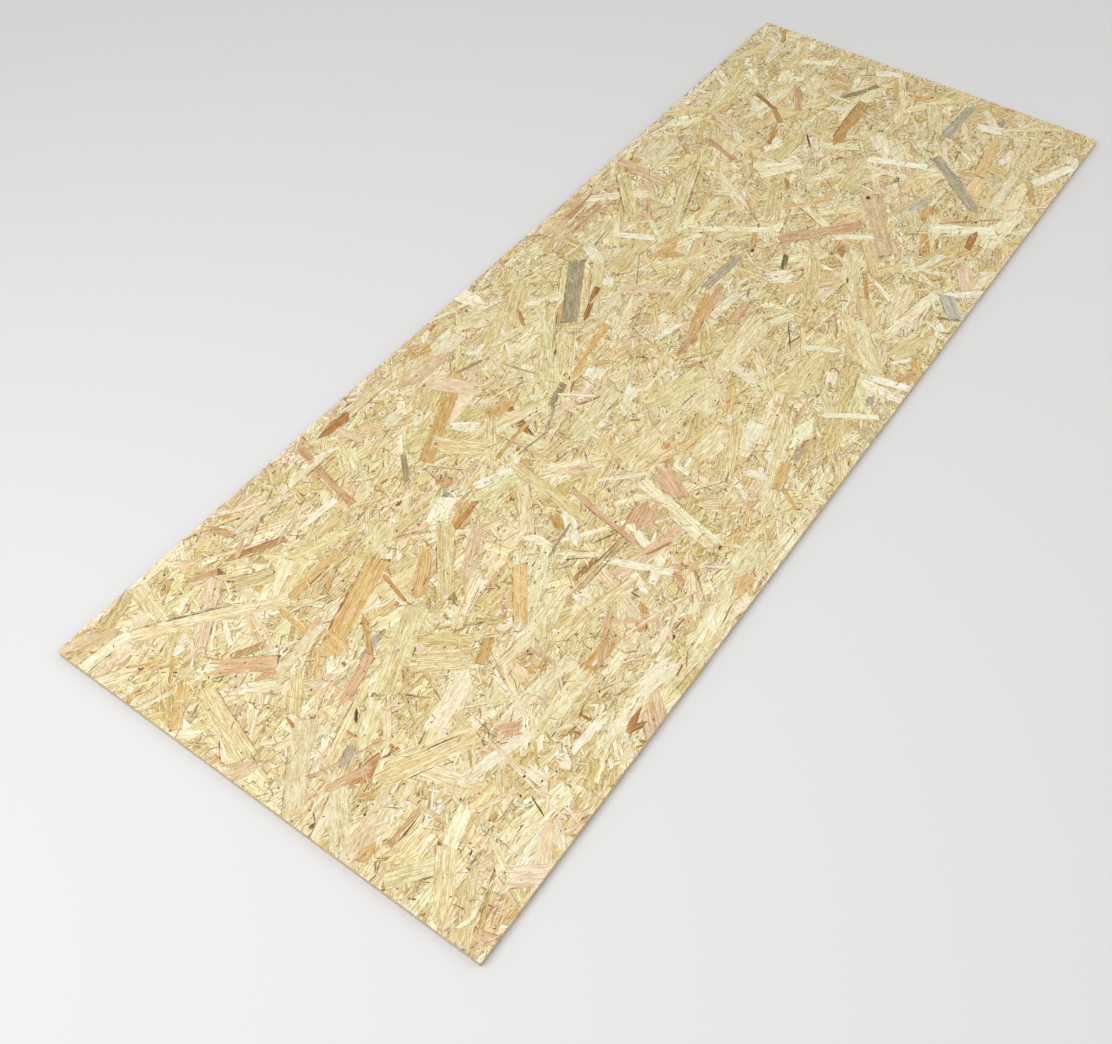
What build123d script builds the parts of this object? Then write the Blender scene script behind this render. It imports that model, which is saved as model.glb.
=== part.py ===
import os

from build123d import *

# One sheet of oriented strand board with square sawn edges, lying flat. Millimetres.
# X runs across the sheet, Y along it and Z up. The origin is under the middle of the underside.

# Driving dimensions.
sheet_length = 2440.0  # the full length that such sheets are sold in
sheet_width = 915.0  # cut down to three feet
sheet_thickness = 15.0
arris_break = 0.35  # how far the saw's sharp arrises are rubbed off
crisp_corner = 1.0  # round of the two corners that kept their shape
knocked_corner = 3.0  # flat on the two corners that were set down on

# The corner nearest to the origin of this diagonal comes first, and the opposite one last.
knocked_diagonal = Axis((0, 0, 0), (1, 1, 0))

os.makedirs("parts", exist_ok=True)

with BuildPart() as osb_board:
    with BuildSketch(Plane.XY) as outline:
        Rectangle(sheet_width, sheet_length)
        corners = outline.vertices().sort_by(knocked_diagonal)
        chamfer([corners[0], corners[-1]], length=knocked_corner)
        crisp = outline.vertices().group_by(Axis((0, 0, 0), (1, -1, 0)))
        fillet([*crisp[0], *crisp[-1]], radius=crisp_corner)
    extrude(amount=sheet_thickness)
    faces_up_down = osb_board.faces().filter_by(Axis.Z)
    chamfer(faces_up_down.edges(), length=arris_break)

osb_board.part.label = "osb_board"
export_step(osb_board.part, "parts/osb_board.step")
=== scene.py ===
import math
from functools import partial, partialmethod
from itertools import product

import bpy
import numpy as np
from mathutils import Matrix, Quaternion, Vector, noise


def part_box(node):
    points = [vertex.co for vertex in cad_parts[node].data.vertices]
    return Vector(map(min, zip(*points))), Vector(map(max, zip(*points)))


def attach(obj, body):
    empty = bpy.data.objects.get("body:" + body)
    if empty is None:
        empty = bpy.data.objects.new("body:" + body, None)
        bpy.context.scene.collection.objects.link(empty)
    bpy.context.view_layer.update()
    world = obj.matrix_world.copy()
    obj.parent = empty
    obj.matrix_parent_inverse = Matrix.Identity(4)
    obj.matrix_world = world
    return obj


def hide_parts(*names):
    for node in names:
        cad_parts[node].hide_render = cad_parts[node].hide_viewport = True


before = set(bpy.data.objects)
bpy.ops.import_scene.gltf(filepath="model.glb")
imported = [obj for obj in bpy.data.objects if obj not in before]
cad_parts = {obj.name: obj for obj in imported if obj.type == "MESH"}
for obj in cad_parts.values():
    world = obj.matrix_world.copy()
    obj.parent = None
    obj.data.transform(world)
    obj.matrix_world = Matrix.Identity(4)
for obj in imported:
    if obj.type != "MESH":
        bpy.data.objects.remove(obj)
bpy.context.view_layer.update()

# The sheet lies flat: X across it, Y along it, Z up. Sizes below are in millimetres,
# and mm turns them into the frame's metres.
mm = 0.001
low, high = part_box("osb_board")
sheetWidth, sheetLength, sheetThickness = [(b - a) / mm for a, b in zip(low, high)]
edgeX, edgeY = sheetWidth / 2, sheetLength / 2  # right and far edges

sheet = {
    "sawGap": 0.12,  # how far the strands stop inside the sawn outline
    "knockedCorner": 3.0,  # flat on the near left and far right corners
    "crispCorner": 0.6,  # flat on the other two
    "topDepth": 0.03,  # from a face down to the strands on top
    "levelStep": 0.05,  # how much lower each strand lies than the one over it
    "strandThickness": 0.40,
    "strandTilt": 0.02,  # how far a strand's sides and ends rise and sink
    "bedDepth": 1.10,  # from a face down to the bed strands
    "coreDepth": 1.40,  # from a face down to the solid core
}


# Helpers

class Nodes:
    # Short names for the nodes used here, which are placed in rows as they are made.

    def __init__(self, tree):
        self.tree = tree

    def add(self, kind, **settings):
        node = self.tree.nodes.new("ShaderNode" + kind)
        row, column = divmod(len(self.tree.nodes), 8)
        node.location = (200 * column, -300 * row)
        for name, value in settings.items():
            setattr(node, name, value)
        return node

    def feed(self, node, values):
        for key, value in values.items():
            if isinstance(value, bpy.types.NodeSocket):
                self.tree.links.new(value, node.inputs[key])
            else:
                node.inputs[key].default_value = value
        return node

    def maths(self, operation, *values, clamp=False):
        node = self.add("Math", operation=operation, use_clamp=clamp)
        return self.feed(node, dict(enumerate(values))).outputs[0]

    times = partialmethod(maths, "MULTIPLY")
    plus = partialmethod(maths, "ADD")
    minus = partialmethod(maths, "SUBTRACT")

    def smooth(self, value, fromMin, fromMax, toMin=0.0, toMax=1.0):
        node = self.add("MapRange", interpolation_type="SMOOTHSTEP")
        return self.feed(node, {"Value": value, "From Min": fromMin, "From Max": fromMax,
                                "To Min": toMin, "To Max": toMax}).outputs["Result"]

    def mix(self, factor, a, b, blend="MIX"):
        node = self.add("Mix", data_type="RGBA", blend_type=blend, clamp_result=True)
        return self.feed(node, {"Factor": factor, "A": a, "B": b}).outputs["Result"]

    def tint(self, colour, by):
        return self.mix(1.0, colour, by, "MULTIPLY")

    def join(self, x, y, z):
        return self.feed(self.add("CombineXYZ"), {0: x, 1: y, 2: z}).outputs[0]

    def split(self, vector):
        return self.feed(self.add("SeparateXYZ"), {0: vector}).outputs

    def noise(self, place, detail, roughness):
        values = {"Vector": place, "Scale": 1.0, "Detail": detail, "Roughness": roughness}
        return self.feed(self.add("TexNoise"), values).outputs["Fac"]

    def group(self, tree, values):
        return self.feed(self.add("Group", label=tree.name, node_tree=tree), values).outputs

    def attribute(self, name):
        return self.add("Attribute", attribute_name=name).outputs["Vector"]

    def surface(self, colour, roughness, gloss, height, bumpStrength, bumpDepth):
        relief = {"Height": height, "Strength": bumpStrength, "Distance": bumpDepth * mm}
        bump = self.feed(self.add("Bump"), relief)
        shader = self.feed(self.add("BsdfPrincipled"), {
            "Base Color": colour, "Roughness": roughness, "Specular IOR Level": gloss,
            "Normal": bump.outputs["Normal"]})
        self.feed(self.add("OutputMaterial"), {"Surface": shader.outputs[0]})


def emptyTree(owner):
    owner.use_nodes = True
    owner.node_tree.nodes.clear()
    return Nodes(owner.node_tree)


def newGroup(name, inputs, outputs):
    # Inputs and outputs are listed by kind: Vector, Color or Float.
    group = bpy.data.node_groups.new(name, "ShaderNodeTree")
    for side, kinds in (("INPUT", inputs), ("OUTPUT", outputs)):
        for kind, labels in kinds.items():
            for label in labels:
                group.interface.new_socket(name=label, in_out=side, socket_type="NodeSocket" + kind)
    start, end = group.nodes.new("NodeGroupInput"), group.nodes.new("NodeGroupOutput")
    return Nodes(group), start.outputs, end


def rgba(colour):
    # A colour as a paint program shows it, turned into the linear values that shaders use.
    return (*[c / 12.92 if c <= 0.04045 else ((c + 0.055) / 1.055) ** 2.4 for c in colour], 1.0)


def addObject(name, data):
    made = bpy.data.objects.new(name, data)
    bpy.context.scene.collection.objects.link(made)
    return made


def addMesh(name, vertices, faces, material, **attributes):
    # Each attribute gives a vector for every vertex.
    mesh = bpy.data.meshes.new(name)
    mesh.from_pydata(vertices, [], faces)
    mesh.materials.append(material)
    for label, vectors in attributes.items():
        attribute = mesh.attributes.new(label, "FLOAT_VECTOR", "POINT")
        attribute.data.foreach_set("vector", np.array(vectors, np.float32).ravel())
    return addObject(name, mesh)


def addMap(mesh, corners):
    layer = mesh.uv_layers.new(name="OFBake")
    layer.data.foreach_set("uv", np.array(corners, np.float32).ravel())


# Shared surface effects

# Noises that run with the grain: scale along it and across it, detail, roughness.
grainNoises = {
    "wander": (0.016, 0.03, 2.0, 0.55),
    "streaks": (0.014, 0.42, 2.0, 0.60),
    "patches": (0.030, 0.10, 5.0, 1.00),
    "fibres": (0.035, 0.85, 3.0, 0.65),
    "specks": (0.060, 0.90, 2.0, 0.55),
    "tears": (0.070, 0.20, 2.0, 0.55),
    "sag": (0.030, 0.12, 2.0, 0.55),  # these two are of the sawn edges
    "strandEnds": (0.500, 3.20, 3.0, 0.60),
}

flake = {
    "ringWander": 1.8,  # times the spacing of its growth rings
    "ringSwing": 4.0,  # across the grain, for all of that wander
    "ringSharpness": 3.0,
    "speckRange": (0.61, 0.69),  # of its noise, from none to full
    "tearRange": (0.36, 0.62),
    "fibreRange": (0.36, 0.70),
    "streakRange": (0.46, 0.63),
    "edgeShadeReach": 2.0,  # of the painted shadow at a torn side and at the ends
    "paintedHighlightReach": 1.8,  # of the painted highlight along the other long side
    # The next three set how dark the painted rim shade is, and how strong and of what colour the painted
    # highlight is.
    "edgeShadeStrength": 0.90,
    "paintedHighlightStrength": 0.80,
    "paintedHighlightColour": (0.90, 0.84, 0.63, 1),
    "speckStrength": 0.75,
    "patchStrength": 2.10,
    "lemon": (0.945, 1.0, 0.95, 1),  # the tints between which the strands of one wood lie
    "peach": (1.0, 0.935, 0.90, 1),
    "whiter": (1.0, 1.0, 1.09, 1),
    "yellower": (1.0, 0.985, 0.84, 1),
    "gloss": 0.35,
    "bumpStrength": 0.5,
    "bumpDepth": 0.45,
}


def grainNoise(nodes, spot, kind):
    alongScale, acrossScale, detail, roughness = grainNoises[kind]
    place = nodes.join(nodes.times(spot[0], alongScale), nodes.times(spot[1], acrossScale), spot[2])
    return nodes.noise(place, detail, roughness)


def buildFlakeGrain():
    # Growth rings, fibres and specks that run along one strand, from its own millimetre map.
    nodes, inp, end = newGroup(
        "flakeGrain", {"Vector": ("Spot", "Traits"), "Float": ("Ring Spacing", "Ring Wander")},
        {"Float": ("Rings", "Streaks", "Fibres", "Specks", "Patches")})
    spot = nodes.split(inp["Spot"])
    ringTrait = nodes.split(inp["Traits"])[2]
    wander = nodes.times(nodes.minus(grainNoise(nodes, spot, "wander"), 0.5), inp["Ring Wander"])
    warped = nodes.plus(spot[1], nodes.times(wander, flake["ringSwing"]))
    spacing = nodes.times(inp["Ring Spacing"], nodes.plus(ringTrait, 0.6))
    turn = nodes.maths("FRACT", nodes.maths("DIVIDE", warped, spacing))
    late = nodes.maths("POWER", turn, flake["ringSharpness"])
    nodes.feed(end, {
        "Rings": nodes.times(late, nodes.smooth(turn, 0.94, 1.0, 1.0, 0.0)),
        "Specks": nodes.smooth(grainNoise(nodes, spot, "specks"), *flake["speckRange"]),
        **{label: grainNoise(nodes, spot, label.lower()) for label in ("Streaks", "Fibres", "Patches")},
    })
    return nodes.tree


def buildFlakeRim():
    # Painted light at a strand's rim: where the edge is torn, one long side and the ends are painted dark
    # as shade, and where it is not, the other long side gets a painted highlight.
    nodes, inp, end = newGroup("flakeEdgeShading", {"Vector": ("Spot", "Size")}, {"Float": ("Edge Shade", "Painted Highlight")})
    spot = nodes.split(inp["Spot"])
    size = nodes.split(inp["Size"])
    sideGap = nodes.minus(size[1], spot[1])
    endGap = nodes.minus(size[0], nodes.maths("ABSOLUTE", spot[0]))
    torn = nodes.smooth(grainNoise(nodes, spot, "tears"), *flake["tearRange"])
    edgeShading = nodes.smooth(nodes.maths("MINIMUM", sideGap, endGap), 0.0, flake["edgeShadeReach"], 1.0, 0.0)
    paintedHighlight = nodes.smooth(nodes.plus(size[1], spot[1]), 0.0, flake["paintedHighlightReach"], 1.0, 0.0)
    nodes.feed(end, {"Edge Shade": nodes.times(edgeShading, torn), "Painted Highlight": nodes.times(paintedHighlight, nodes.minus(1.0, torn))})
    return nodes.tree


def buildFlakeColour():
    # Puts grain, the painted rim shade and highlight and a strand's own traits together into a colour, a
    # roughness and a height.
    nodes, inp, end = newGroup("flakeColour", {
        "Vector": ("Traits",), "Color": ("Early Wood", "Late Wood", "Speck And Edge Shade Colour"),
        "Float": ("Rings", "Streaks", "Fibres", "Specks", "Patches", "Edge Shade", "Painted Highlight",
                  "Ring Contrast", "Fibre Contrast", "Shade Range"),
    }, {"Color": ("Color",), "Float": ("Roughness", "Height")})
    shadeTrait, warmTrait, ringTrait = nodes.split(inp["Traits"])
    ringPart = nodes.times(nodes.times(inp["Rings"], inp["Ring Contrast"]), nodes.times(ringTrait, 1.6))
    fibrePart = nodes.times(nodes.smooth(inp["Fibres"], *flake["fibreRange"]), inp["Fibre Contrast"])
    # Some strands are smooth and others fibrous.
    coarse = nodes.maths("FRACT", nodes.times(ringTrait, 5.9))
    fibrePart = nodes.times(fibrePart, nodes.maths("MULTIPLY_ADD", coarse, 1.5, 0.25))
    streakPart = nodes.times(nodes.smooth(inp["Streaks"], *flake["streakRange"]),
                             nodes.maths("MULTIPLY_ADD", ringTrait, 0.70, 0.35))
    wood = nodes.maths("ADD", nodes.plus(ringPart, fibrePart), streakPart, clamp=True)
    colour = nodes.mix(wood, inp["Early Wood"], inp["Late Wood"])
    colour = nodes.tint(colour, nodes.mix(warmTrait, flake["lemon"], flake["peach"]))
    yellowTrait = nodes.maths("FRACT", nodes.times(ringTrait, 7.3))
    colour = nodes.tint(colour, nodes.mix(yellowTrait, flake["whiter"], flake["yellower"]))
    shade = nodes.plus(nodes.times(shadeTrait, inp["Shade Range"]), 1.0)
    shade = nodes.plus(shade, nodes.times(nodes.minus(inp["Patches"], 0.5), flake["patchStrength"]))
    # A darker strand is warmer as well.
    red, blue = nodes.maths("POWER", shade, 0.75), nodes.maths("POWER", shade, 1.80)
    colour = nodes.tint(colour, nodes.join(red, shade, blue))
    colour = nodes.mix(nodes.times(inp["Specks"], flake["speckStrength"]), colour, inp["Speck And Edge Shade Colour"])
    # Painted highlight along one long side.
    colour = nodes.mix(nodes.times(inp["Painted Highlight"], flake["paintedHighlightStrength"]), colour, flake["paintedHighlightColour"])
    # Painted shade at the torn side and the ends, in the colour that the specks also use.
    colour = nodes.mix(nodes.times(inp["Edge Shade"], flake["edgeShadeStrength"]), colour, inp["Speck And Edge Shade Colour"])
    relief = nodes.plus(nodes.times(inp["Fibres"], 0.6), nodes.times(inp["Rings"], 0.5))
    nodes.feed(end, {
        "Color": colour,
        "Roughness": nodes.plus(nodes.times(inp["Fibres"], 0.25), 0.42),
        # The painted rim shade mask also sinks the bump there.
        "Height": nodes.minus(relief, nodes.times(inp["Edge Shade"], 0.8)),
    })
    return nodes.tree


flakeGrain = buildFlakeGrain()
flakeEdgeShading = buildFlakeRim()
flakeColour = buildFlakeColour()

# The kinds of wood in the mat, from the palest to the darkest: the colours of its early wood, late wood,
# and of its specks and painted rim shade, how far apart its growth rings are, how strongly rings and fibres
# show, and how much its strands differ.
woods = {
    "white": ((0.955, 0.927, 0.832), (0.885, 0.835, 0.700), (0.58, 0.45, 0.30), 2.8, 0.35, 0.50, 0.06),
    "cream": ((0.968, 0.957, 0.822), (0.842, 0.748, 0.545), (0.46, 0.31, 0.16), 2.7, 0.75, 0.80, 0.13),
    "straw": ((0.953, 0.924, 0.746), (0.800, 0.688, 0.466), (0.42, 0.27, 0.13), 2.5, 0.75, 0.80, 0.14),
    "honey": ((0.900, 0.788, 0.562), (0.795, 0.638, 0.398), (0.46, 0.29, 0.15), 3.4, 0.60, 0.45, 0.15),
    "pink": ((0.925, 0.850, 0.725), (0.830, 0.715, 0.570), (0.52, 0.37, 0.26), 3.6, 0.50, 0.50, 0.12),
    "salmon": ((0.880, 0.755, 0.605), (0.775, 0.610, 0.450), (0.46, 0.29, 0.19), 3.6, 0.50, 0.50, 0.15),
    "rust": ((0.810, 0.620, 0.375), (0.640, 0.430, 0.245), (0.30, 0.17, 0.09), 3.0, 0.60, 0.50, 0.20),
    "grey": ((0.750, 0.722, 0.620), (0.585, 0.525, 0.430), (0.32, 0.26, 0.19), 3.0, 0.80, 0.60, 0.18),
    "bark": ((0.410, 0.275, 0.160), (0.250, 0.155, 0.085), (0.15, 0.09, 0.06), 2.0, 0.50, 0.70, 0.35),
}


def makeWoodMaterial(name, wood):
    early, late, speckAndEdgeShadeColour, ringSpacing, ringContrast, fibreContrast, shadeRange = wood
    material = bpy.data.materials.new(name)
    nodes = emptyTree(material)
    spot, size, traits = [nodes.attribute(label) for label in ("strandSpot", "strandSize", "strandTraits")]
    grain = nodes.group(flakeGrain, {"Spot": spot, "Traits": traits, "Ring Spacing": ringSpacing,
                                     "Ring Wander": ringSpacing * flake["ringWander"]})
    edgeShading = nodes.group(flakeEdgeShading, {"Spot": spot, "Size": size})
    colour = nodes.group(flakeColour, {
        "Early Wood": rgba(early), "Late Wood": rgba(late), "Speck And Edge Shade Colour": rgba(speckAndEdgeShadeColour), "Traits": traits,
        "Ring Contrast": ringContrast, "Fibre Contrast": fibreContrast, "Shade Range": shadeRange,
        **dict(grain.items()), **dict(edgeShading.items())})
    nodes.surface(colour["Color"], colour["Roughness"], flake["gloss"],
                  colour["Height"], flake["bumpStrength"], flake["bumpDepth"])
    return material


# Strand outlines, in the strand's own millimetres: along the grain, then across it

strandShapes = {
    "kinds": ("knife", "torn", "point"),
    "kindShares": (0.24, 0.38, 0.38),
    "notchShare": 0.40,
    "sideStep": 20,
    "sideWave": 1.1,
    "bowMost": 1.8,  # of a strand 120 mm long
}


def endProfile(rng, kind, halfL, halfW):
    # Points from the lower side to the upper side, round the end at +halfL.
    slant = rng.uniform(-0.45, 0.45) * halfW
    if kind == "knife":
        return [(halfL - slant, -halfW), (halfL + slant, halfW)]
    if kind == "point":
        back = min(rng.uniform(1.2, 5.5) * halfW, halfL * 1.1)
        tip = rng.uniform(-0.6, 0.6) * halfW
        return [(halfL - back * rng.uniform(0.5, 1.0), -halfW * 0.95), (halfL, tip),
                (halfL - back * rng.uniform(0.4, 1.0), halfW * 0.95)]
    teeth = int(rng.integers(2, 5))
    points = [(halfL - slant - rng.uniform(0, 0.5) * halfW, -halfW)]
    for tooth in range(1, 2 * teeth):
        across = -halfW + 2 * halfW * (tooth + rng.uniform(-0.3, 0.3)) / (2 * teeth)
        bite = rng.uniform(0.3, 1.8) * halfW if tooth % 2 else 0.0
        points.append((halfL - min(bite, halfL * 0.5) + slant * across / halfW, across))
    points.append((halfL + slant - rng.uniform(0, 0.5) * halfW, halfW))
    return points


def sideProfile(rng, halfW, start, stop):
    # Points along one long side: a ragged line that steps in where wood split off.
    count = max(1, int(abs(stop - start) / strandShapes["sideStep"]))
    notchAt = rng.uniform(0.2, 0.9) if rng.random() < strandShapes["notchShare"] else 2.0
    notch = rng.uniform(0.12, 0.45)
    points = []
    for part in np.sort(rng.uniform(0.04, 0.96, count)):
        width = halfW + rng.uniform(-1, 0.6) * min(strandShapes["sideWave"], halfW * 0.16)
        if part > notchAt:
            width -= halfW * notch
        points.append((start + (stop - start) * part, width))
    return points


def strandOutline(rng, item):
    halfL, halfW = item["length"] / 2, item["width"] / 2
    half = np.array((halfL, halfW))
    shape = item.get("shape")
    if shape == "plain":
        return np.array([(1, -1), (1, 1), (-1, 1), (-1, -1)]) * half
    if shape == "round":
        turns = np.linspace(0, 2 * math.pi, 11)[:-1]
        return np.stack([np.cos(turns), np.sin(turns) * rng.uniform(0.85, 1.1, 10)], 1) * half
    if shape == "slit":
        bend = rng.uniform(-0.05, 0.05) * halfL
        a, b, c, d = halfW * rng.uniform(0.6, 1.0, 4)
        return np.array([(halfL, 0), (halfL * 0.4, bend + a), (-halfL * 0.3, bend + b),
                         (-halfL, 0), (-halfL * 0.4, bend - c), (halfL * 0.3, bend - d)])
    if shape == "curl":
        turns = np.linspace(-1, 1, 6) * rng.uniform(0.7, 1.5)
        radius = halfL / math.sin(min(1.5, turns[-1]))
        middle = np.stack([np.sin(turns) * radius, (np.cos(turns) - 1) * radius], 1)
        return np.concatenate([middle[::-1] + (0, halfW), middle - (0, halfW)])
    if shape == "sliver":
        tips = rng.uniform(-0.8, 0.8, 2)
        shoulders = rng.uniform(0.2, 0.9, 2)
        return np.array([(1, tips[0]), (shoulders[0], 1), (-0.7, 1),
                         (-1, tips[1]), (-shoulders[1], -1), (0.7, -1)]) * half
    kinds = item.get("ends") or rng.choice(strandShapes["kinds"], 2, p=strandShapes["kindShares"])
    right = endProfile(rng, kinds[0], halfL, halfW)
    left = [(-along, -across) for along, across in endProfile(rng, kinds[1], halfL, halfW)]
    below = [(along, -width) for along, width in sideProfile(rng, halfW, left[-1][0], right[0][0])]
    above = sideProfile(rng, halfW, right[-1][0], left[0][0])
    points = np.array(right + above + left + below)
    bow = rng.uniform(-1, 1) * strandShapes["bowMost"] * (item["length"] / 120) ** 2
    points[:, 1] += bow * (1 - (points[:, 0] / halfL) ** 2)
    return points


# The mat: strands are dropped in order, and each lies one level under what covers it

def strand(x, y, turn, length, width, wood, **more):
    # turn is anticlockwise from the sheet's length, in degrees.
    return {"x": x, "y": y, "turn": turn, "length": length, "width": width, "wood": wood, **more}


def direction(item):
    turn = math.radians(item["turn"])
    return -math.sin(turn), math.cos(turn)


def onSheet(item, along, across):
    # A place on a strand, in the sheet's millimetres.
    alongX, alongY = direction(item)
    return item["x"] + along * alongX + across * alongY, item["y"] + along * alongY - across * alongX


def onStrand(item, x, y):
    # A place on the sheet, in the strand's own millimetres.
    alongX, alongY = direction(item)
    offX, offY = x - item["x"], y - item["y"]
    return offX * alongX + offY * alongY, offX * alongY - offY * alongX


def cutToSheet(points):
    # Keeps the part of an outline that lies inside the sawn sheet, one straight cut at a time.
    halfW, halfL = edgeX - sheet["sawGap"], edgeY - sheet["sawGap"]
    cuts = [(1, 0, halfW), (-1, 0, halfW), (0, 1, halfL), (0, -1, halfL)]
    for sideX, sideY in product((-1, 1), repeat=2):
        flat = sheet["knockedCorner"] if sideX == sideY else sheet["crispCorner"]
        cuts.append((sideX, sideY, halfW + halfL - flat))
    for nx, ny, limit in cuts:
        if not len(points):
            return points
        depth = points[:, 0] * nx + points[:, 1] * ny - limit
        if (depth <= 0).all():
            continue
        kept = []
        for here, there, a, b in zip(points, np.roll(points, -1, 0), depth, np.roll(depth, -1)):
            if a <= 0:
                kept.append(here)
            if (a <= 0) != (b <= 0):
                kept.append(here + (there - here) * (a / (a - b)))
        points = np.array(kept)
    return points


mat = {
    "seed": 4224,
    "cell": 2.0,  # of the map that tells which strands cover which
    "levelsMost": 13,
    "leastSeen": 0.04,  # of a strand, for it to be kept
    "landmarksFrom": 0.999,  # of the way up the mat
    "underShare": 0.6,  # of the strands, on the underside
    "bedPitch": (24, 60),  # bed plates, across and along the sheet
    # Share by which cream and straw strands turn white or pink towards the left side and the near right
    # corner: painted light.
    "pale": 0.45,
    "turn": (5, 29),  # middle and spread, in degrees from the sheet's length
    # The rest is said of each kind of strand: how many, length and width as middle, spread and
    # most, the share that lies any way round, and how far one differs from the next.
    "count": 8200, "length": (80, 0.45, 175), "width": (13.5, 0.60, 42),
    "strayShare": 0.26, "shade": 0.8, "shadeLimits": (-2.5, 1.3),
    "woods": {"white": 0.08, "cream": 0.50, "straw": 0.30, "honey": 0.05, "pink": 0.04, "salmon": 0.025,
              "rust": 0.002, "grey": 0.001},
}


def layMat(strands):
    # From the top strand down: finds each strand's level, and drops those that nothing of shows.
    cell = mat["cell"]
    columns, rows = int(sheetWidth / cell) + 1, int(sheetLength / cell) + 1
    covered = np.zeros((rows, columns), np.int16)
    laid = []
    for item in reversed(strands):
        alongX, alongY = direction(item)
        halfL, halfW = item["length"] / 2, item["width"] / 2
        reachX = abs(alongX) * halfL + abs(alongY) * halfW
        reachY = abs(alongY) * halfL + abs(alongX) * halfW
        firstX = max(0, int((item["x"] - reachX + edgeX) / cell))
        lastX = min(columns, int((item["x"] + reachX + edgeX) / cell) + 2)
        firstY = max(0, int((item["y"] - reachY + edgeY) / cell))
        lastY = min(rows, int((item["y"] + reachY + edgeY) / cell) + 2)
        if firstX >= lastX or firstY >= lastY:
            continue
        x = (np.arange(firstX, lastX) + 0.5) * cell - edgeX
        y = ((np.arange(firstY, lastY) + 0.5) * cell - edgeY)[:, None]
        along, across = onStrand(item, x, y)
        inside = (np.abs(along) < halfL + cell * 0.5) & (np.abs(across) < halfW + cell * 0.5)
        patch = covered[firstY:lastY, firstX:lastX]
        under = patch[inside]
        if not under.size:
            continue
        level = int(under.max())
        shows = np.count_nonzero(under == 0)
        if level > mat["levelsMost"] or shows < max(2, mat["leastSeen"] * under.size):
            continue
        patch[inside] = level + 1
        item["level"] = level
        laid.append(item)
    return laid, float((covered == 0).mean())


# Strands that are mixed in among those of the mat, none below the lowest share of the way up

slivers = {
    "shape": "sliver", "lowest": 0.5, "count": 2700, "length": (45, 0.45, 110), "width": (3.2, 0.45, 7),
    "strayShare": 0.30, "shade": 1.9, "shadeLimits": (-3.2, 1.6),
    "woods": {"white": 0.22, "cream": 0.38, "straw": 0.18, "honey": 0.09, "pink": 0.06, "salmon": 0.045,
              "rust": 0.02, "grey": 0.005},
}

crumbs = {
    "shape": "sliver", "lowest": 0.7, "count": 10500, "length": (13, 0.50, 40), "width": (2.6, 0.45, 7),
    "strayShare": 0.45, "shade": 3.0, "shadeLimits": (-3.6, 1.7),
    "woods": {"white": 0.29, "cream": 0.25, "straw": 0.18, "honey": 0.14, "pink": 0.03, "salmon": 0.065,
              "rust": 0.045},
}

curls = {
    "shape": "curl", "lowest": 0.8, "count": 2200, "length": (12, 0.40, 28), "width": (1.5, 0.30, 3),
    "strayShare": 1.0, "shade": 2.0, "shadeLimits": (-3.2, 1.6),
    "woods": {"white": 0.30, "cream": 0.25, "straw": 0.15, "honey": 0.15, "salmon": 0.10, "bark": 0.05},
}

planks = {
    "lowest": 0.90, "count": 140, "length": (135, 0.22, 185), "width": (30, 0.25, 46),
    "strayShare": 0.30, "shade": 0.5, "shadeLimits": (-1.2, 1.2),
    "woods": {"white": 0.08, "cream": 0.62, "straw": 0.27, "pink": 0.03},
}

dust = {
    "shape": "sliver", "count": 3600, "length": (13, 0.50, 50), "width": (1.7, 0.35, 3.5),
    "strayShare": 0.40, "shade": 2.4, "shadeLimits": (-3.4, 1.6),
    "woods": {"white": 0.32, "cream": 0.28, "straw": 0.18, "honey": 0.11, "salmon": 0.06, "rust": 0.05},
}

slits = {
    "share": 0.60,  # of the strands in sight, with a dark line at one side, partly bark and partly the painted shade of a gap
    "lowestLevel": 3,  # at which a strand can have one
    "leastWidth": 5,
    "length": (0.10, 0.45),  # of the strand's own length
    "width": (0.75, 2.1),
    # Dark specks in the bark colour laid on top: painted shade of small pits.
    "pitShades": 1300,
    "pitShadeSize": (1.0, 3.3),
    "lift": 0.2,  # levels over the strand that they lie on
}


def drawSize(rng, middle, spread, most):
    return min(most, middle * math.exp(rng.normal(0, spread)))


def scatter(rng, kind, share):
    # Draws one kind of strand all over the sheet.
    names, shares = list(kind["woods"]), np.array(list(kind["woods"].values()))
    made = []
    for _ in range(int(kind["count"] * share)):
        length = drawSize(rng, *kind["length"])
        width = min(length * 0.5, drawSize(rng, *kind["width"]))
        turn = rng.uniform(-90, 90) if rng.random() < kind["strayShare"] else rng.normal(*mat["turn"])
        x = rng.uniform(-edgeX - 10, edgeX + 10)
        y = rng.uniform(-edgeY - 20, edgeY + 20)
        wood = str(rng.choice(names, p=shares / shares.sum()))
        if wood in ("cream", "straw") and rng.random() < mat["pale"] * max(-x, (x - y) * 0.5) / sheetWidth:
            wood = str(rng.choice(("white", "pink")))  # painted light: the left side and the near right corner come out paler
        shade = float(np.clip(rng.normal(0.1, kind["shade"]), *kind["shadeLimits"]))
        made.append(strand(x, y, turn, length, width, wood, shape=kind.get("shape"), shade=shade))
    return made


def mixIn(rng, strands, extra, lowest):
    # Lays extra strands among the others, none of them lower than that share of the way up.
    places = np.sort(rng.uniform(lowest, 1, len(extra))) * len(strands)
    both = extra + strands
    return [both[index] for index in np.argsort([*places, *range(len(strands))], kind="stable")]


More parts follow.
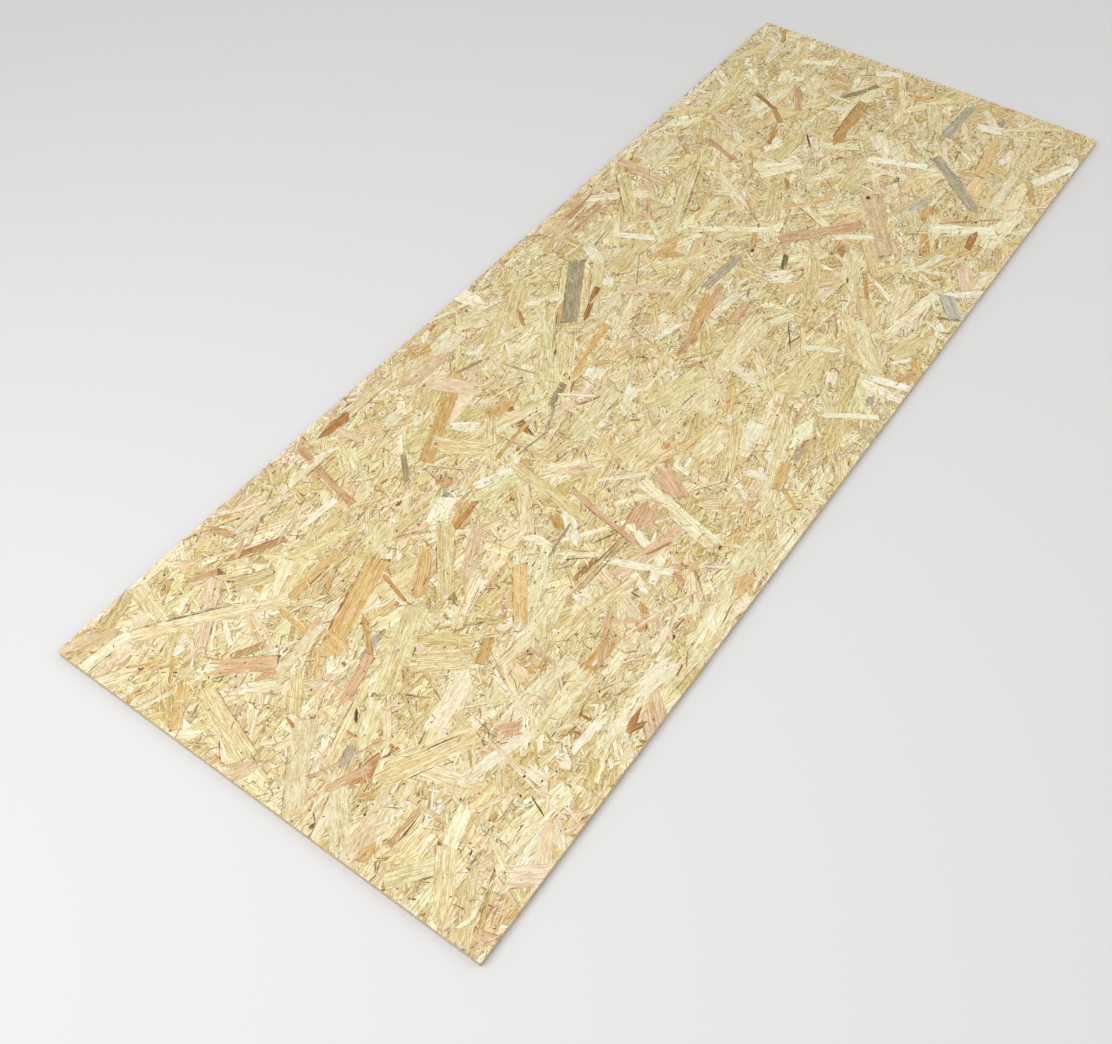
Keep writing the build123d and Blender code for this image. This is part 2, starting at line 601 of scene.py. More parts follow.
def layFace(seed, share, landmarks):
    rng = np.random.default_rng(seed)
    strands = scatter(rng, mat, share)
    for kind in (slivers, crumbs, curls, planks):
        strands = mixIn(rng, strands, scatter(rng, kind, share), kind["lowest"])
    marks = [item for item in landmarks if item["wood"] == "bark" or item["shape"] == "round"]
    strands = mixIn(rng, strands, [item for item in landmarks if item not in marks],
                    mat["landmarksFrom"])
    strands += scatter(rng, dust, share) + marks
    laid, bare = layMat(strands)
    made = list(laid)
    for item in laid:
        if item["level"] > slits["lowestLevel"] or item["width"] < slits["leastWidth"]:
            continue
        if rng.random() > slits["share"]:
            continue
        # A dark line along one side of the strand: bark, and the painted shade of the gap there.
        side = rng.choice((-1, 1))
        x, y = onSheet(item, rng.uniform(-0.3, 0.3) * item["length"], side * item["width"] / 2)
        turn = item["turn"] + rng.uniform(-2, 2)
        length = item["length"] * rng.uniform(*slits["length"])
        width = rng.uniform(*slits["width"])
        made.append(strand(x, y, turn, length, width, str(rng.choice(("bark", "rust"))), shape="slit",
                           level=item["level"] - slits["lift"]))
    # Painted shade of small pits, as dark specks on top of everything.
    for _ in range(int(slits["pitShades"] * share)):
        size = rng.uniform(*slits["pitShadeSize"])
        x, y = rng.uniform(-edgeX, edgeX), rng.uniform(-edgeY, edgeY)
        turn = rng.normal(*mat["turn"])
        length = size * rng.uniform(1, 2.2)
        made.append(strand(x, y, turn, length, size, "bark", shape="slit", level=-slits["lift"]))
    pitchX, pitchY = mat["bedPitch"]
    for x in np.arange(-edgeX, edgeX + pitchX, pitchX):
        for y in np.arange(-edgeY, edgeY + pitchY, pitchY):
            made.append(strand(x + rng.uniform(-4, 4), y + rng.uniform(-10, 10), rng.normal(4, 7),
                               rng.uniform(96, 120), rng.uniform(36, 42),
                               "cream" if rng.random() < 0.5 else "straw", shape="plain",
                               depth=sheet["bedDepth"] + rng.uniform(0, 0.12), level=99))
    print(len(laid), "strands laid,", round(bare * 100, 2), "% left to the bed")
    return made


# Strands that give this sheet its face, read off one at a time. Each is placed by its middle,
# x and y from the near left corner, under ones first, from the far end to the near one. Then
# come turn, length, width, shade and the kinds of its two ends.

landmarks = []


def land(wood, x, y, turn, length, width, shade=0.0, *ends, shape=None, warmth=None):
    # The pale ones away from the near end are rather lemon than peach, and none is yellower or
    # whiter than most of its wood.
    if warmth is None:
        warmth = 0.35 if wood in ("white", "cream", "straw") and y > 650 else 0.5
    rings = {"white": 0.20, "grey": 0.36}.get(wood, (1.5 + (x + y) % 6) / 7.3)
    landmarks.append(strand(x - edgeX, y - edgeY, turn, length, width, wood, shade=shade,
                            warmth=warmth, rings=rings, ends=ends, shape=shape))


white, cream, straw, honey, pink, salmon, rust, grey, bark = (partial(land, wood) for wood in woods)
# A slit is a dark line, partly bark and partly the painted shade of a gap between strands; a knot is a
# round dark mark.
slit, knot = partial(bark, shape="slit"), partial(bark, shape="round")
sharp, cut, torn = "point", "knife", "torn"

# The far end
white(88, 2322, 10, 125, 28, -2.2)
white(345, 2195, -50, 75, 30, -0.5)
white(378, 2405, -60, 70, 26, 0.6)
white(690, 2330, -70, 80, 32, 0.5, torn, torn)
cream(150, 2350, 8, 130, 44, -0.3)
cream(560, 2290, 28, 120, 40, -1.3, cut, torn)
cream(810, 2260, 0, 150, 38, -0.3)
cream(90, 2085, 5, 170, 50, -0.1)
cream(335, 1905, -35, 115, 58, 2.0, cut, cut)
straw(318, 1980, 0, 125, 34, -1.0)
straw(410, 2050, -58, 115, 26, 0.8)
cream(437, 1925, -35, 95, 18, 1.0)
honey(750, 2095, 0, 80, 36, 1.3)
cream(860, 1990, -5, 170, 44, 0.3)
straw(500, 1985, 4, 150, 40, -0.9)
cream(215, 1668, 20, 290, 32, -0.7, torn, sharp)
honey(264, 1685, 15, 150, 11, 0.7, sharp, sharp)
straw(590, 1602, 25, 175, 36, 0.4)
cream(652, 1665, 20, 150, 40, -0.9)
cream(820, 1612, -8, 185, 26, 1.9, cut, torn)
white(885, 1736, -52, 95, 22, 0.6)
white(778, 1782, -15, 105, 20, -1.2)
white(285, 1740, -60, 58, 20, -1.7, torn, torn)
straw(110, 1600, 42, 190, 34, -0.9)
cream(390, 1790, 22, 150, 42, -0.9)
grey(611, 2320, -1, 160, 24, 0.2, torn, cut, warmth=0.35)
grey(352, 2292, -27, 118, 14, -1.9)
honey(70, 2405, 25, 60, 12, -1.8)
white(885, 2250, -25, 140, 24, 0.8, cut, cut)
honey(728, 2225, 8, 170, 28, 0.1)
honey(397, 2152, 6, 205, 32, -2.0, cut, sharp, warmth=0.9)
salmon(388, 2205, 7, 90, 4, -0.8)
honey(262, 2318, 20, 40, 12, -1.4)
salmon(235, 2180, 32, 120, 20, -0.6)
white(560, 2075, -68, 145, 22, 1.9, cut, torn)
grey(707, 2080, 50, 216, 30, 0.1, cut, sharp, warmth=0.35)
salmon(180, 2116, 66, 92, 14, -3.2, torn, torn, warmth=0.9)
salmon(236, 2078, 46, 62, 16, -2.0, torn, torn)
rust(260, 2015, 20, 60, 14, 0.3)
rust(272, 1978, 0, 26, 13, -0.9)
white(285, 1985, 0, 35, 22)
slit(345, 2035, 38, 65, 5, 0.8)
cream(878, 2090, -48, 95, 8, 0.8)
pink(130, 1990, 70, 90, 26, -0.2)
grey(670, 1960, -20, 70, 22, 1.6, torn, torn)
honey(698, 1948, 15, 50, 26, -1.4, cut, sharp)
pink(630, 1845, 38, 215, 55, -0.9, cut, cut)
knot(565, 1917, 10, 13, 11, 0.3)
cream(790, 1935, -55, 150, 35, 0.9, cut, torn)
salmon(792, 1972, -49, 145, 7, -1.2)
rust(823, 1915, 8, 72, 17, -0.9, sharp, cut)
salmon(190, 1880, 73, 110, 18, -1.6)
honey(275, 1880, 32, 95, 8, -1.8)
rust(385, 1855, 35, 45, 12, 0.0, sharp, torn)
cream(55, 1925, -30, 100, 40, 0.4)
white(70, 1780, 0, 120, 60, -3.1, torn, torn)
white(600, 1770, -52, 100, 18, 0.6)
salmon(495, 1700, -30, 85, 34, -0.5, torn, cut)
salmon(545, 1755, -38, 165, 30, -0.2, cut, sharp)
honey(602, 1713, 20, 48, 20, -3.0, sharp, sharp)
rust(699, 1641, 30, 88, 10, 0.5)
grey(890, 1646, -64, 55, 9, -2.0, sharp, torn)
grey(878, 1684, 40, 75, 34, 1.6, cut, cut)
pink(92, 1695, 88, 150, 34, -0.9, cut, torn)
cream(368, 1637, -55, 200, 20, 0.2)
rust(659, 1632, 30, 22, 4.5, -1.0)
honey(367, 1722, 45, 90, 10, -1.5)

# Above the middle
cream(125, 1462, 0, 135, 46, -0.4)
straw(226, 1432, 0, 145, 46, 0.4)
straw(390, 1400, 3, 175, 34, -0.2, torn, torn)
white(483, 1415, -5, 105, 20, -1.2)
white(715, 1412, -60, 85, 18, -0.6, torn, sharp)
cream(785, 1470, 42, 160, 40, 0.2)
straw(725, 1330, 0, 155, 46, 0.6)
cream(870, 1372, -85, 100, 34, 2.3)
pink(325, 1360, -55, 140, 30, 0.2, sharp, torn)
white(282, 1272, 5, 115, 22, -3.0)
white(238, 1328, 20, 38, 26, -0.4, torn, torn)
cream(218, 1315, 30, 195, 28, -0.4, cut, cut)
cream(655, 1280, 42, 135, 34, 0.1)
white(158, 1387, 60, 75, 28, -1.2, torn, torn)
straw(535, 1145, -14, 155, 52, -0.5, cut, torn)
cream(582, 1155, -8, 115, 24, 0.6)
cream(790, 1085, 19, 265, 34, 0.4, torn, sharp)
cream(120, 1150, 28, 170, 40, -0.8)
honey(428, 1627, 22, 65, 12, -0.8)
knot(440, 1600, 10, 11, 8, 0.3)
white(535, 1560, -50, 70, 40, 0.0, torn, torn)
grey(519, 1605, 20, 55, 13, -3.2, cut, torn)
grey(424, 1500, -3, 145, 22, 0.2, sharp, torn, warmth=0.7)
honey(283, 1500, -5, 110, 32, -0.7, sharp, torn, warmth=0.7)
honey(312, 1490, -55, 50, 16, -0.7)
salmon(456, 1400, 12, 130, 20, -0.3, torn, sharp)
salmon(521, 1410, 5, 80, 22, 0.1, torn, cut)
honey(455, 1350, 17, 150, 24, -0.9, torn, sharp)
salmon(480, 1265, 5, 90, 22, -0.9)
white(198, 1488, -62, 100, 20)
salmon(45, 1475, 0, 110, 26, -1.6)
pink(80, 1480, 0, 100, 18, -1.6)
pink(50, 1420, 0, 90, 50, -1.3)
rust(36, 1510, 2, 110, 6, 0.3, sharp, sharp)
white(49, 1500, 2, 120, 4)
salmon(61, 1490, -2, 130, 5, 0.2, sharp, sharp)
salmon(78, 1480, 0, 120, 8, -1.4, sharp, sharp)
white(875, 1403, -80, 95, 20, 1.2, cut, torn)
white(865, 1475, -40, 50, 9, 1.2)
white(850, 1275, -58, 115, 14, 1.2)
white(428, 1272, -15, 90, 13)
slit(640, 1410, 32, 100, 2.5, 0.4)
grey(865, 1335, 20, 30, 12, 0.8)
salmon(890, 1435, -20, 50, 16, -0.4)
honey(215, 1185, 28, 95, 16, -0.3)
grey(192, 1262, 30, 200, 36, -0.9, cut, cut)
rust(248, 1250, 20, 110, 14, -1.1, cut, sharp)
honey(328, 1125, 11, 185, 20, -0.9, cut, sharp, warmth=0.8)
rust(151, 1127, 50, 55, 9, -0.3)
honey(632, 1180, 25, 90, 22, -0.4)
honey(814, 1065, 15, 80, 22, -0.7)
grey(815, 1130, 10, 40, 12)
cream(575, 1330, 4, 190, 56, 0.7, torn, torn)

# Below the middle
cream(248, 1078, 33, 265, 40, -1.2, cut, torn)
honey(266, 1030, 29, 160, 5, -0.4, sharp, sharp)
straw(318, 1035, 30, 250, 44, 0.8, cut, sharp)
straw(124, 1068, 18, 155, 34, 0.2)
cream(163, 1070, -10, 105, 22, 0.4)
pink(376, 955, -8, 92, 20, 0.2)
straw(568, 1000, 0, 195, 36, 1.4, torn, cut)
cream(432, 985, 2, 165, 40, -1.2, cut, torn)
white(463, 1072, 20, 62, 26, -0.6, torn, sharp)
white(373, 1082, 10, 46, 40, -0.5, torn, torn)
cream(668, 1058, -5, 115, 48, 0.9, torn, torn)
straw(706, 1075, 25, 155, 30, 0.6, torn, sharp)
white(775, 1035, -75, 52, 20, -0.2, torn, torn)
white(648, 968, 80, 52, 12, -0.2, sharp, torn)
straw(134, 828, 20, 80, 60, -0.1, torn, torn)
pink(80, 885, 0, 130, 44, -0.5)
white(250, 812, -50, 62, 28, -0.2, torn, torn)
honey(275, 885, 5, 75, 28, -0.3)
honey(345, 840, 4, 130, 9, -0.6, sharp, sharp)
cream(315, 812, 38, 135, 26, -0.1)
cream(475, 850, -40, 140, 34, 0.8, cut, torn)
pink(497, 850, -45, 60, 28, -0.2, torn, torn)
cream(880, 690, 8, 155, 36, 1.4)
cream(715, 650, -15, 125, 30, 0.2)
cream(860, 850, 5, 150, 42, -0.6)
white(380, 742, 10, 26, 21, -1.4, torn, torn)
white(118, 742, 0, 60, 30, -2.6, torn, torn)
cream(70, 1040, -25, 60, 24, -0.6)
white(70, 970, 0, 80, 50, -2.0)
grey(152, 950, -20, 65, 8, -1.6)
grey(372, 928, 21, 75, 8, -0.4, sharp, sharp)
grey(346, 985, 18, 78, 19, -1.5, cut, torn)
white(378, 1010, -58, 80, 8)
rust(597, 1000, 0, 20, 18, 1.0, sharp, torn)
slit(324, 1044, 15, 16, 3.5, 0.6)
slit(338, 1040, 38, 14, 4, 0.6)
honey(625, 965, 15, 40, 16, -2.2)
salmon(655, 830, 10, 80, 50, 0.2, torn, torn)
salmon(650, 925, 60, 90, 42, 0.6, torn, torn)
cream(700, 870, 76, 200, 34, 1.2, cut, cut)
honey(205, 785, 24, 190, 32, -1.3, cut, cut, warmth=0.45)
straw(275, 765, -65, 120, 45, 0.9, torn, torn)
pink(160, 890, -68, 115, 38, -0.1, torn, cut)
salmon(718, 805, -12, 100, 22, 1.1)
straw(480, 775, 80, 200, 24, -1.0, torn, cut)
salmon(603, 785, 79, 190, 17, 0.0, cut, sharp)
grey(382, 855, -8, 85, 5, -0.9, sharp, sharp)
rust(35, 665, -5, 90, 26, -0.4, sharp, sharp)
grey(220, 663, 45, 75, 12, -1.0, torn, torn)
honey(535, 725, 60, 45, 22, -1.8, torn, sharp, warmth=0.8)
grey(562, 692, 8, 90, 6, -1.2, sharp, sharp)
grey(625, 745, -25, 45, 4, -1.2, sharp, sharp)
pink(652, 675, -2, 185, 17, -2.6, torn, sharp, warmth=0.6)
salmon(636, 667, -4, 70, 12, -3.4, torn, torn, warmth=0.8)
pink(648, 655, -4, 110, 2.5, 0.5, sharp, sharp)
slit(645, 715, -5, 85, 2.2, 1.0)
slit(652, 700, -2, 110, 1.6, 1.2)
slit(659, 690, 0, 80, 1.6, 1.2)
slit(612, 677, -49, 58, 2.4, 1.0)
cream(612, 690, -57, 90, 13, 0.2, sharp, sharp)
white(667, 612, 75, 36, 26, 0.0, torn, torn)
rust(719, 782, -24, 62, 6, -0.6, sharp, sharp)
white(715, 728, -68, 140, 18)
salmon(780, 748, -68, 24, 18, -0.8)
white(530, 670, -68, 65, 22)
salmon(790, 785, 0, 30, 16, 0.2)
slit(742, 672, 90, 18, 3.5)
white(93, 745, 0, 15, 13, -1.0, shape="round")
rust(93, 745, 0, 6, 5, -1.0, shape="round")
slit(435, 720, 20, 9, 3)
slit(428, 708, -30, 6, 2.5)

# The near end
cream(425, 532, 40, 190, 34, -0.6, cut, torn)
cream(290, 503, 10, 80, 46, -1.0, torn, torn)
cream(478, 345, 22, 185, 44, -1.4, cut, cut)
slit(455, 378, 24, 120, 1.4, 1.2)
cream(545, 365, -50, 115, 40, 0.0, torn, torn)
cream(632, 560, 0, 115, 20, 0.9)
white(862, 552, -10, 105, 36, -0.6, torn, torn)
white(720, 402, -5, 195, 34, -2.1, cut, torn)
cream(765, 412, 3, 180, 34, -0.7)
cream(640, 462, -5, 95, 26, -0.2)
straw(252, 400, -8, 110, 30, -0.4, torn, torn)
pink(155, 196, 34, 175, 34, 0.1, cut, torn)
white(490, 78, 38, 180, 44, -3.6, cut, torn)
straw(638, 212, -28, 185, 52, 0.9, cut, torn)
cream(845, 235, -8, 140, 42, 0.0, torn, cut)
white(590, 60, 45, 150, 36, -3.5)
cream(60, 160, 75, 110, 34, 0.1)
cream(800, 60, 35, 130, 34, 0.1)
salmon(110, 560, 75, 180, 20, -0.9, cut, cut)
white(72, 540, -2, 135, 15, -1.8)
white(160, 480, -5, 100, 15)
white(72, 395, 0, 140, 20, -3.2)
salmon(125, 355, -28, 120, 16, -2.6)
salmon(100, 340, 25, 48, 12, -0.1)
salmon(45, 348, -70, 60, 16, -1.0)
honey(412, 330, 50, 100, 12, -1.7, warmth=0.9)
honey(352, 367, 17, 215, 42, 0.2, cut, torn)
rust(387, 436, 73, 78, 8)
honey(402, 495, 33, 120, 26)
honey(575, 555, 38, 130, 28, 0.9, cut, torn)
honey(595, 425, 20, 55, 18, -1.6)
salmon(763, 535, 20, 65, 14, -0.4)
salmon(735, 590, 22, 60, 13, 0.3)
straw(690, 550, -5, 90, 28, 1.0)
cream(790, 530, 0, 60, 20, 0.2)
rust(876, 462, 12, 58, 14, -1.2, sharp, sharp, warmth=1.0)
rust(888, 455, -28, 40, 12, -0.5, sharp, torn)
rust(887, 585, 10, 25, 4, -0.5)
honey(248, 370, 0, 140, 18, -0.5)
salmon(720, 328, -40, 50, 26, 0.0, torn, torn)
white(830, 400, -5, 100, 18)
salmon(92, 258, -32, 85, 20, -0.7)
salmon(280, 165, -50, 115, 32, -0.3, cut, torn)
cream(165, 200, -37, 280, 32, 0.4, cut, torn)
salmon(266, 190, -30, 62, 15, -2.1)
honey(247, 48, 38, 95, 20, -0.5, torn, cut)
cream(330, 65, 72, 160, 42, -0.4, sharp, cut)
slit(500, 203, 40, 30, 7, -0.5)
honey(380, 280, 80, 45, 40, -0.3)
straw(388, 178, 40, 100, 28, 0.6)
white(335, 245, 4, 120, 22, -3.1)
slit(649, 249, -28, 88, 2.2, 0.4)
rust(420, 130, 70, 24, 7, 0.6, shape="round")
salmon(455, 250, 14, 115, 20, 0.4, cut, sharp)
straw(720, 95, 0, 80, 50, 1.6, torn, torn)
salmon(690, 98, 0, 80, 12, -0.9)
slit(697, 98, 2, 70, 2.5, 0.8)
salmon(700, 140, 90, 75, 8, 0.5)
salmon(565, 112, -22, 85, 16, -0.2)
grey(538, 140, 20, 45, 18, 0.2, torn, torn, warmth=0.95)
white(325, 145, -42, 90, 22, -1.5)
pink(35, 55, -20, 90, 40, -1.5)
pink(795, 275, 78, 195, 7, 0.9)
honey(670, 35, 0, 40, 18, -0.7)
pink(415, 22, -40, 60, 30, -0.8)
knot(790, 275, 0, 6, 4, 0.3)
knot(818, 285, 0, 5, 4, 0.3)
slit(800, 125, 25, 12, 4, 0.2)


# Meshes: every strand is a thin closed plate

def plateFaces(place, first, side):
    # The seen face of one plate, and its back and rim. Its corners start at number first.
    count = len(place)
    ring = list(range(first, first + count))
    following = np.roll(place, -1, 0)
    if side * (place[:, 0] * following[:, 1] - place[:, 1] * following[:, 0]).sum() < 0:
        ring.reverse()
    lower = [index + count for index in ring]
    edgeShading = [(a, c, d, b) for a, b, c, d in zip(ring, ring[1:] + ring[:1], lower, lower[1:] + lower[:1])]
    return tuple(ring), [tuple(reversed(lower)), *edgeShading]


def spreadOnSheet(mesh, vertices):
    # Gives a piece a flat map of the sheet, in which the strands on top come last.
    corners = np.zeros(len(mesh.loops), np.int32)
    mesh.loops.foreach_get("vertex_index", corners)
    flat = np.array(vertices)[corners, :2] / (sheetWidth * mm, sheetLength * mm) + 0.5
    addMap(mesh, np.clip(flat, 0.0005, 0.9995))


def buildStrandPieces(laid, side, seed):
    rng = np.random.default_rng(seed)
    made = []
    for wood in sorted({item["wood"] for item in laid}):
        vertices, tops, hidden, spots, sizes, traits = [], [], [], [], [], []
        chosen = sorted((item for item in laid if item["wood"] == wood), key=lambda item: -item["level"])
        for item in chosen:
            outline = strandOutline(rng, item)
            strandSeed = rng.uniform(0, 400)
            warmth = item.get("warmth", float(np.clip(rng.normal(0.5, 0.28), 0, 1)))
            rings = item.get("rings", rng.uniform(0.1, 1.0))
            # flip picks which long side of the strand gets the painted rim shade, and which gets the
            # painted highlight.
            flip = rng.choice((-1, 1))
            tilt = rng.uniform(-sheet["strandTilt"], sheet["strandTilt"], 2)
            place = cutToSheet(np.stack(onSheet(item, outline[:, 0], outline[:, 1]), 1))
            if len(place) < 3:
                continue
            along, across = onStrand(item, place[:, 0], place[:, 1])
            halfL, halfW = item["length"] / 2, item["width"] / 2
            dip = item.get("depth", item["level"] * sheet["levelStep"] + sheet["topDepth"])
            dip = np.maximum(dip + tilt[0] * along / halfL + tilt[1] * across / halfW, 0.0)
            seen, rest = plateFaces(place, len(vertices), side)
            tops.append(seen)
            hidden.extend(rest)
            top = sheetThickness - dip if side > 0 else dip
            for z in (top, top - side * sheet["strandThickness"]):
                vertices.extend(zip(place[:, 0] * mm, place[:, 1] * mm, z * mm))
                spots.extend(zip(along, across * flip, [strandSeed] * len(place)))
            sizes.extend([(halfL, halfW, 0.0)] * (2 * len(place)))
            traits.extend([(item.get("shade", 0.0), warmth, rings)] * (2 * len(place)))
        faces = hidden + tops
        name = wood + ("StrandsTop" if side > 0 else "StrandsUnder")
        piece = addMesh(name, vertices, faces, materials[wood],
                        strandSpot=spots, strandSize=sizes, strandTraits=traits)
        spreadOnSheet(piece.data, vertices)
        print(name, len(chosen), "strands,", sum(len(face) - 2 for face in faces), "triangles")
        made.append(piece)
    return made


materials = {name: makeWoodMaterial(name + "Wood", wood) for name, wood in woods.items()}
print("wood materials made:", len(materials))

pieces = buildStrandPieces(layFace(mat["seed"], 1.0, landmarks), 1, mat["seed"] + 1)
pieces += buildStrandPieces(layFace(mat["seed"] + 7, mat["underShare"], []), -1, mat["seed"] + 2)


# The solid core between the two faces, with its sawn edges

core = {
    "overlap": 0.1,  # how far it reaches up into the lowest strands
    "inset": 0.036,  # from the sheet's outline
    "step": 3.0,  # along the edge
    "rows": 20,
    "texture": 0.22,  # how far the saw left strand ends standing
    "grain": (14, 0.9),  # of that texture, along the edge and up it
    "voids": 520,
    "voidDepth": 1.6,
    "voidReach": (2.5, 9.0),  # half its size along the edge, and up it
    "voidHeight": (0.35, 0.8),
    "folds": 16,  # rows that the long edge is cut into on its map
}


def outlineLoop(step):
    # Points and outward directions round the sheet, anticlockwise from the near left corner.
    k, c = sheet["knockedCorner"], sheet["crispCorner"]
    corners = [(-edgeX + k, -edgeY), (edgeX - c, -edgeY), (edgeX, -edgeY + c), (edgeX, edgeY - k),
               (edgeX - k, edgeY), (-edgeX + c, edgeY), (-edgeX, edgeY - c), (-edgeX, -edgeY + k)]
    points, outward = [], []
    for (x0, y0), (x1, y1) in zip(corners, corners[1:] + corners[:1]):
        length = math.hypot(x1 - x0, y1 - y0)
        count = max(1, round(length / step))
        for part in np.arange(count) / count:
            points.append((x0 + (x1 - x0) * part, y0 + (y1 - y0) * part))
            outward.append(((y1 - y0) / length, -(x1 - x0) / length))
    return np.array(points), np.array(outward)


def sawEdge(run, heights, edgeLength):
    # How far the edge is sunk at each point, and how much of a void is there, which the edge's colour turns
    # into painted shade.
    rng = np.random.default_rng(mat["seed"] + 3)
    grainRun, grainHeight = core["grain"]
    grain = [[noise.noise(Vector((at / grainRun, z / grainHeight, 3.1))) for at in run] for z in heights]
    sink = core["texture"] * (0.5 + 0.5 * np.array(grain))
    shade = np.zeros(sink.shape)
    for _ in range(core["voids"]):
        centre, z0 = rng.uniform(0, edgeLength), rng.uniform(heights[0] + 0.6, heights[-1] - 0.6)
        halfRun, halfHigh = rng.uniform(*core["voidReach"]), rng.uniform(*core["voidHeight"])
        gap = np.abs((run - centre + edgeLength / 2) % edgeLength - edgeLength / 2) / halfRun
        hollow = np.clip(1 - gap[None, :] ** 2 - ((heights[:, None] - z0) / halfHigh) ** 2, 0, 1)
        sink = np.maximum(sink, hollow * rng.uniform(0.5, 1.0) * core["voidDepth"])
        shade = np.maximum(shade, hollow)
    return sink, shade


def buildCore(material):
    points, outward = outlineLoop(core["step"])
    count, rows = len(points), core["rows"]
    bottom = sheet["coreDepth"] - core["overlap"]
    heights = np.linspace(bottom, sheetThickness - bottom, rows)
    run = np.arange(count) * core["step"]
    sink, shade = sawEdge(run, heights, count * core["step"])
    vertices, spots, faces, corners = [], [], [], []
    for z, depth, hollow in zip(heights, sink, shade):
        x, y = (points - outward * (depth + core["inset"])[:, None]).T
        vertices.extend(zip(x * mm, y * mm, [z * mm] * count))
        # The third value is how much painted shade the void gets.
        spots.extend(zip(run, [z] * count, hollow))
    perFold = math.ceil(count / core["folds"])
    for row, column in product(range(rows - 1), range(count)):
        a, b = row * count + column, row * count + (column + 1) % count
        faces.append((a, b, b + count, a + count))
        fold, step = divmod(column, perFold)
        left, right = step / perFold, (step + 1) / perFold
        below, above = [(fold + 0.05 + 0.9 * part / (rows - 1)) / core["folds"] for part in (row, row + 1)]
        corners.extend([(left, below), (right, below), (right, above), (left, above)])
    faces.append(tuple(reversed(range(count))))
    faces.append(tuple(range((rows - 1) * count, rows * count)))
    corners.extend([(0.001, 0.001)] * (2 * count))
    piece = addMesh("pressedCore", vertices, faces, material, edgeSpot=spots)
    addMap(piece.data, corners)
    print("core:", 2 * (rows - 1) * count + 2 * (count - 2), "triangles")
    return piece


sawnEdge = {
    "pale": (0.860, 0.800, 0.705),
    "mid": (0.760, 0.675, 0.570),
    "dark": (0.520, 0.425, 0.340),
    # The void colour is painted shade in the hollows of the sawn edge.
    "voidShade": (0.140, 0.095, 0.065),
    "sag": 5.0,  # how far the layers wander up and down
    "layerScale": (0.055, 1.15),  # along the edge and up it
    "roughness": 0.8,
    "gloss": 0.25,
    "bumpStrength": 0.6,
    "bumpDepth": 0.3,
}


def makeEdgeMaterial():
    material = bpy.data.materials.new("sawnStrandEnds")
    nodes = emptyTree(material)
    run, height, hollow = nodes.split(nodes.attribute("edgeSpot"))
    sag = nodes.times(grainNoise(nodes, (run, height, 4.2), "sag"), sawnEdge["sag"])
    runScale, heightScale = sawnEdge["layerScale"]
    layerHeight = nodes.plus(nodes.times(height, heightScale), sag)
    layers = nodes.noise(nodes.join(nodes.times(run, runScale), layerHeight, 0.0), 2.0, 0.5)
    fine = grainNoise(nodes, (run, height, 7.7), "strandEnds")
    colour = rgba(sawnEdge["pale"])
    # The last layer paints the voids dark as shade.
    for value, first, full, strength, over in (
            (layers, 0.40, 0.56, 1.0, "mid"), (layers, 0.58, 0.70, 0.85, "dark"),
            (fine, 0.52, 0.78, 0.5, "dark"), (hollow, 0.1, 0.7, 0.92, "voidShade")):
        colour = nodes.mix(nodes.smooth(value, first, full, 0, strength), colour, rgba(sawnEdge[over]))
    nodes.surface(colour, sawnEdge["roughness"], sawnEdge["gloss"],
                  nodes.plus(fine, layers), sawnEdge["bumpStrength"], sawnEdge["bumpDepth"])
    return material


pieces.append(buildCore(makeEdgeMaterial()))

for piece in pieces:
    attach(piece, "root")
    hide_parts("osb_board")
print("board dressed:", len(pieces), "pieces")


# Floor, light and camera

studio = {
    "floorSize": 40.0,
    "floorColour": (0.86, 0.86, 0.855),
    "floorRoughness": 0.9,
    "backdropStrength": 0.52,
    "worldStrength": 0.684,
    "keyAt": (-0.5, -2.3, 2.7),
    "keySize": 2.4,
    "keyPower": 54.0,
    "fillAt": (2.6, 1.6, 3.0),
    "fillSize": 3.0,
    "fillPower": 26.0,
}


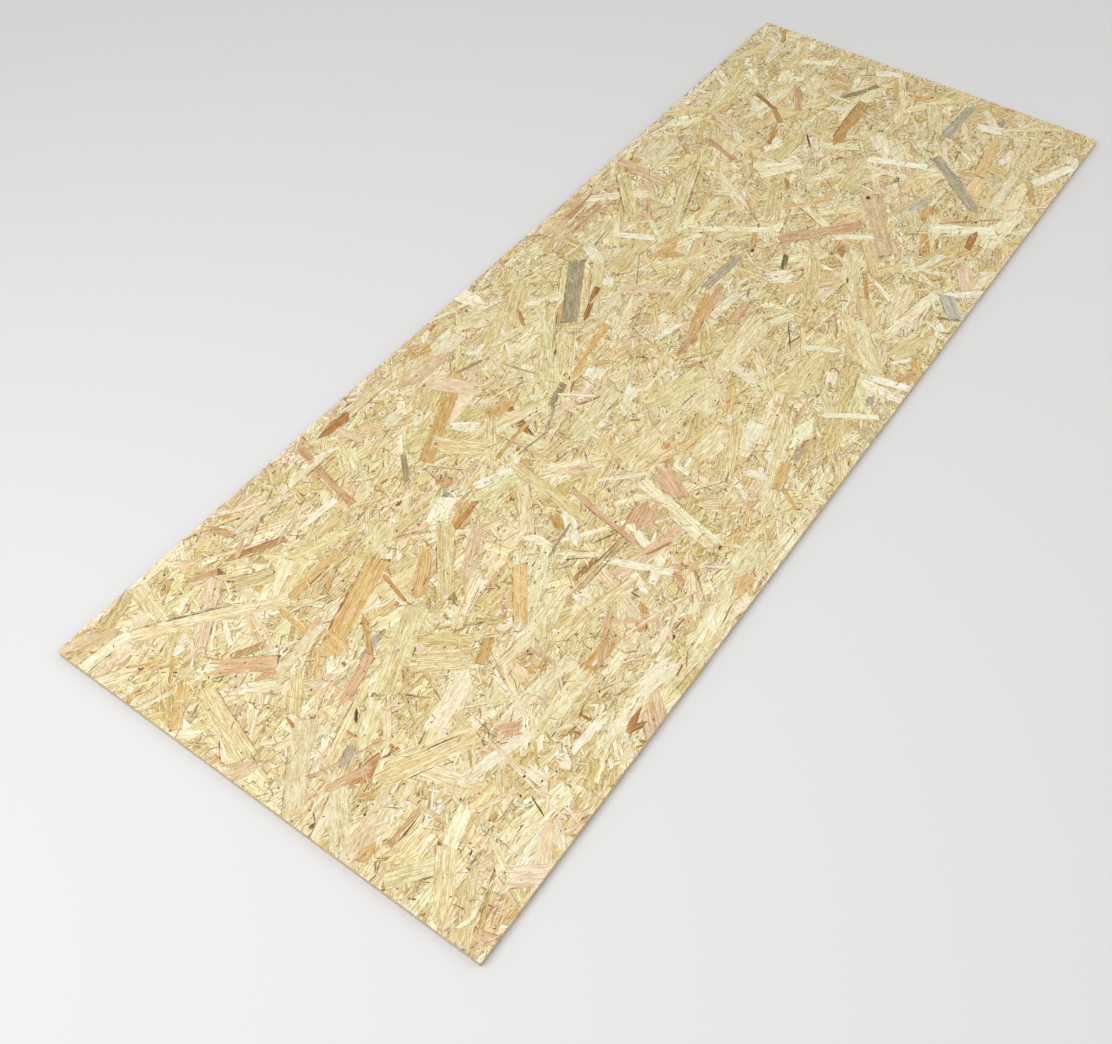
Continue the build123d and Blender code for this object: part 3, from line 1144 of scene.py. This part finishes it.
def buildFloor():
    half = studio["floorSize"] / 2
    material = bpy.data.materials.new("plainFloor")
    material.use_nodes = True
    inputs = material.node_tree.nodes["Principled BSDF"].inputs
    inputs["Base Color"].default_value = rgba(studio["floorColour"])
    inputs["Roughness"].default_value = studio["floorRoughness"]
    corners = [(-half, -half, 0), (half, -half, 0), (half, half, 0), (-half, half, 0)]
    addMesh("studioFloor", corners, [(0, 1, 2, 3)], material)


def addSoftbox(name):
    light = bpy.data.lights.new(name + "Softbox", "AREA")
    light.shape = "DISK"
    light.size = studio[name + "Size"]
    light.energy = studio[name + "Power"]
    lamp = addObject(name + "Softbox", light)
    lamp.location = studio[name + "At"]
    lamp.rotation_euler = (-lamp.location).to_track_quat("-Z", "Y").to_euler()


def buildRoom():
    # Lights the sheet evenly, and shows a plain backdrop where the camera looks past the floor.
    world = bpy.data.worlds.new("softRoom")
    nodes = emptyTree(world)
    mix = nodes.add("MixShader")
    nodes.feed(mix, {0: nodes.add("LightPath").outputs["Is Camera Ray"]})
    for place, strength in ((1, studio["worldStrength"]), (2, studio["backdropStrength"])):
        plain = nodes.feed(nodes.add("Background"), {"Color": (1, 1, 1, 1), "Strength": strength})
        nodes.feed(mix, {place: plain.outputs[0]})
    nodes.feed(nodes.add("OutputWorld"), {"Surface": mix.outputs[0]})
    bpy.context.scene.world = world


# The camera stands where the photograph was taken from, as the sheet's four corners tell.
view = {
    "place": (0.9094, -1.6541, 1.8314), "aim": (0.0742, -0.4971, 0.015), "roll": -0.29,
    "focalPixels": 1252.3, "imageWidth": 1112,
}


def buildCamera():
    data = bpy.data.cameras.new("photoCamera")
    data.lens = data.sensor_width * view["focalPixels"] / view["imageWidth"]
    camera = addObject("photoCamera", data)
    camera.location = view["place"]
    look = (Vector(view["aim"]) - Vector(view["place"])).to_track_quat("-Z", "Y")
    camera.rotation_mode = "QUATERNION"
    camera.rotation_quaternion = look @ Quaternion((0, 0, 1), math.radians(view["roll"]))
    bpy.context.scene.camera = camera


buildFloor()
addSoftbox("key")
addSoftbox("fill")
buildRoom()
buildCamera()
bpy.context.scene.view_settings.view_transform = "Standard"
print("studio ready")

bpy.context.view_layer.update()
